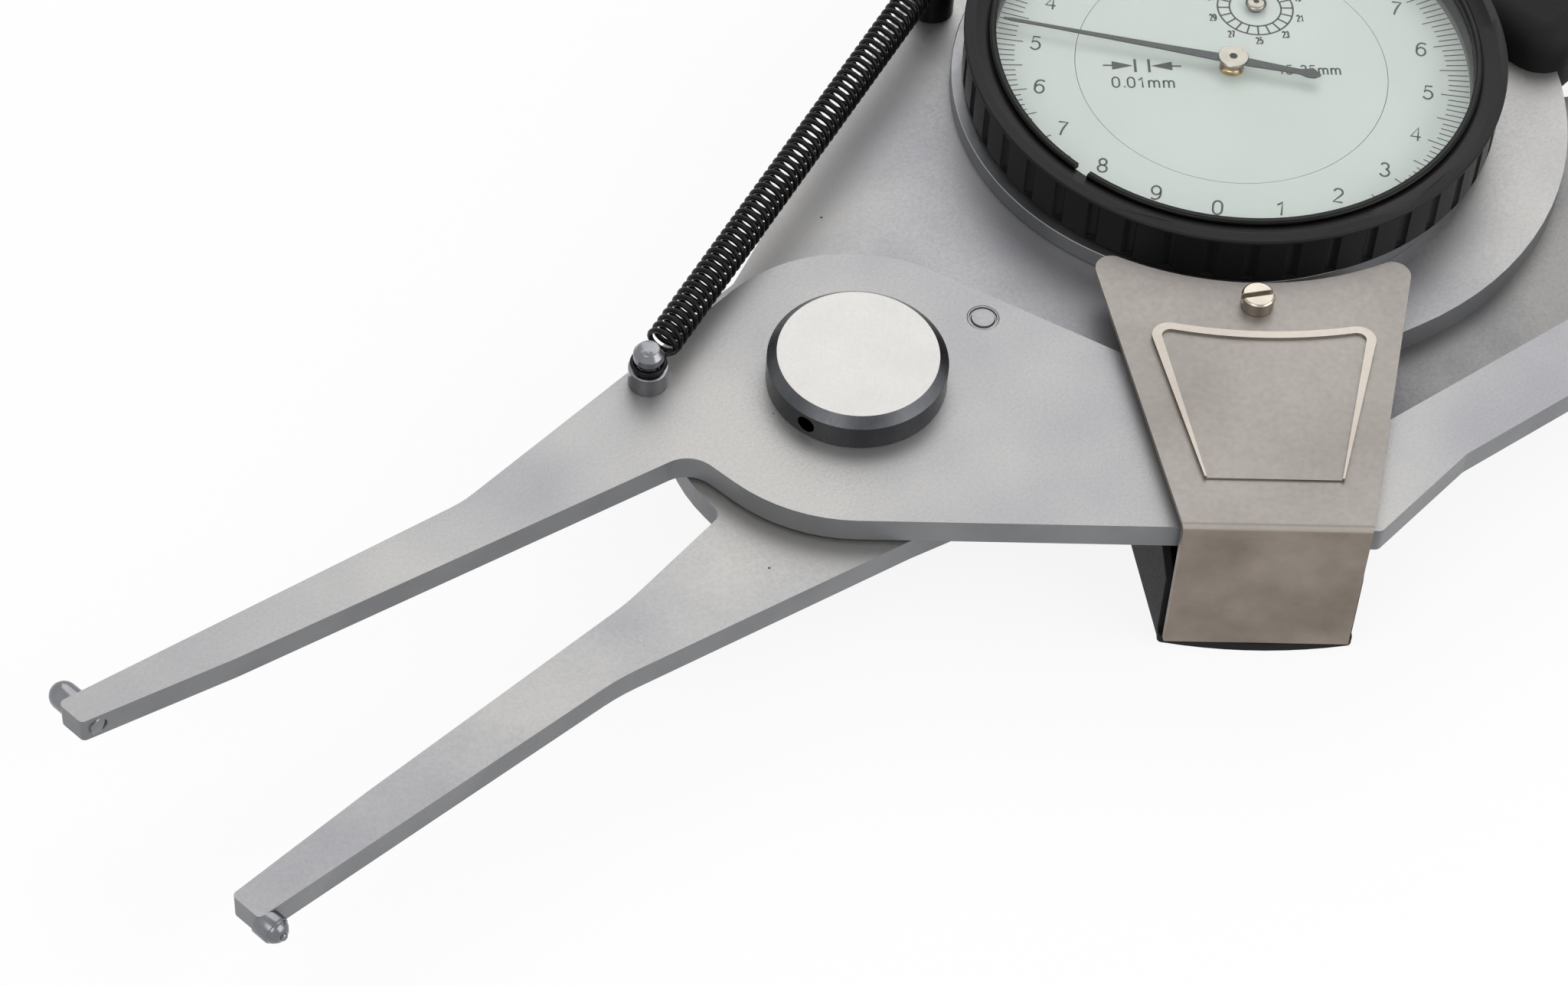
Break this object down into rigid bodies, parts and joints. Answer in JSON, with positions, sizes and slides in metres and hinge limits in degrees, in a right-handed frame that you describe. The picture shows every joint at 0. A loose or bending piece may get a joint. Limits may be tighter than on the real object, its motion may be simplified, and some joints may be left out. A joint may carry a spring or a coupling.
{
  "type": "internal dial caliper gauge",
  "caption": "Hand-held two-arm gauge for inside grooves: a sprung lever turns on a body plate and drives a round dial with a ribbed bezel.",
  "frame": {"origin": "on the dial axis, in the flat back of the back cover", "axes": "+X from the lever pivot towards the dial axis, along the arms; +Z out of the dial; +Y from the fixed lower arm towards the moving upper arm"},
  "size_m": [0.2467, 0.1137, 0.0236],
  "materials": {
    "satin_steel": "surface-ground, satin",
    "bright_steel": "turned, bright",
    "nickel_sheet": "pressed sheet, nickel plated",
    "black_moulding": "moulded, fine grain",
    "black_anodised": "anodised, semi-matt",
    "clear_crystal": "clear, polished",
    "dial_enamel": "enamelled, matt",
    "hand_enamel": "painted",
    "brass": "turned and milled",
    "bronze": "turned",
    "black_spring": "blackened spring steel",
    "case_metal": "turned"
  },
  "bodies": {
    "root": {"body_plate": "satin_steel", "guide_plate": "satin_steel", "body_grip": "black_moulding", "body_grip_screws": "bright_steel", "guide_screws": "bright_steel", "contact_pin_b": "bright_steel", "spring_post_b": "black_spring", "cover_bracket": "nickel_sheet", "bracket_screw": "nickel_sheet", "bracket_spacer": "bright_steel", "back_cover": "black_moulding", "back_cover_screws": "bright_steel", "case_body": "case_metal", "dial_disc": "dial_enamel", "pivot_stud": "bright_steel", "pivot_washer": "bronze", "pivot_knob": "bright_steel", "lower_movement_plate": "brass", "upper_movement_plate": "brass", "movement_pillars": "brass", "movement_nuts": "brass", "front_spindle_bush": "brass", "rear_spindle_bush": "brass", "return_spring": "black_spring", "spindle_spring": "bright_steel"},
    "lever": {"lever_plate": "satin_steel", "lever_bush": "bronze", "stop_pin": "bright_steel", "drive_pin": "bright_steel", "contact_pin_a": "bright_steel", "spring_post_a": "bright_steel", "lever_grip": "black_moulding", "lever_grip_screws": "bright_steel"},
    "bezel": {"bezel": "black_anodised", "dial_scale_ring": "dial_enamel", "crystal_seat_ring": "dial_enamel", "crystal": "clear_crystal", "retaining_ring": "black_spring"},
    "centre_arbor": {"main_hand": "hand_enamel", "hand_hub": "brass", "hand_cap": "bright_steel", "centre_pinion": "bright_steel"},
    "counter_arbor": {"counter_hand": "hand_enamel", "counter_cap": "bright_steel", "counter_wheel": "brass", "rack_pinion": "bright_steel"},
    "spindle": {"rack_spindle": "bright_steel", "spindle_anvil": "bright_steel", "spindle_pin": "bright_steel"}
  },
  "joints": [
    {"name": "lever_pivot", "type": "hinge", "parent": "root", "child": "lever", "pos_m": [-0.0612, 0, 0.0165], "axis": [0, 0, 1], "range_deg": [0, 13.7], "stiffness_Nm_per_rad": 0.4, "springref_deg": -14.32, "deforming": ["return_spring"]},
    {"name": "bezel_turn", "type": "hinge", "parent": "root", "child": "bezel", "pos_m": [0, 0, 0.02], "axis": [0, 0, 1], "continuous": true},
    {"name": "centre_arbor_turn", "type": "hinge", "parent": "root", "child": "centre_arbor", "pos_m": [0, 0, 0.012], "axis": [0, 0, 1], "range_deg": [-3720, 20]},
    {"name": "counter_arbor_turn", "type": "hinge", "parent": "root", "child": "counter_arbor", "pos_m": [0.00907, 0.00396, 0.012], "axis": [0, 0, 1], "range_deg": [-5, 380]},
    {"name": "spindle_slide", "type": "slide", "parent": "root", "child": "spindle", "axis": [-0.7302, -0.6833, 0], "range_m": [-0.012, 0.0002], "deforming": ["spindle_spring"]}
  ],
  "couplings": [
    {"joint": "spindle_slide", "follows": "lever_pivot", "m_per_rad": -0.04935},
    {"joint": "counter_arbor_turn", "follows": "lever_pivot", "ratio": 26.864},
    {"joint": "centre_arbor_turn", "follows": "lever_pivot", "ratio": -268.64}
  ]
}
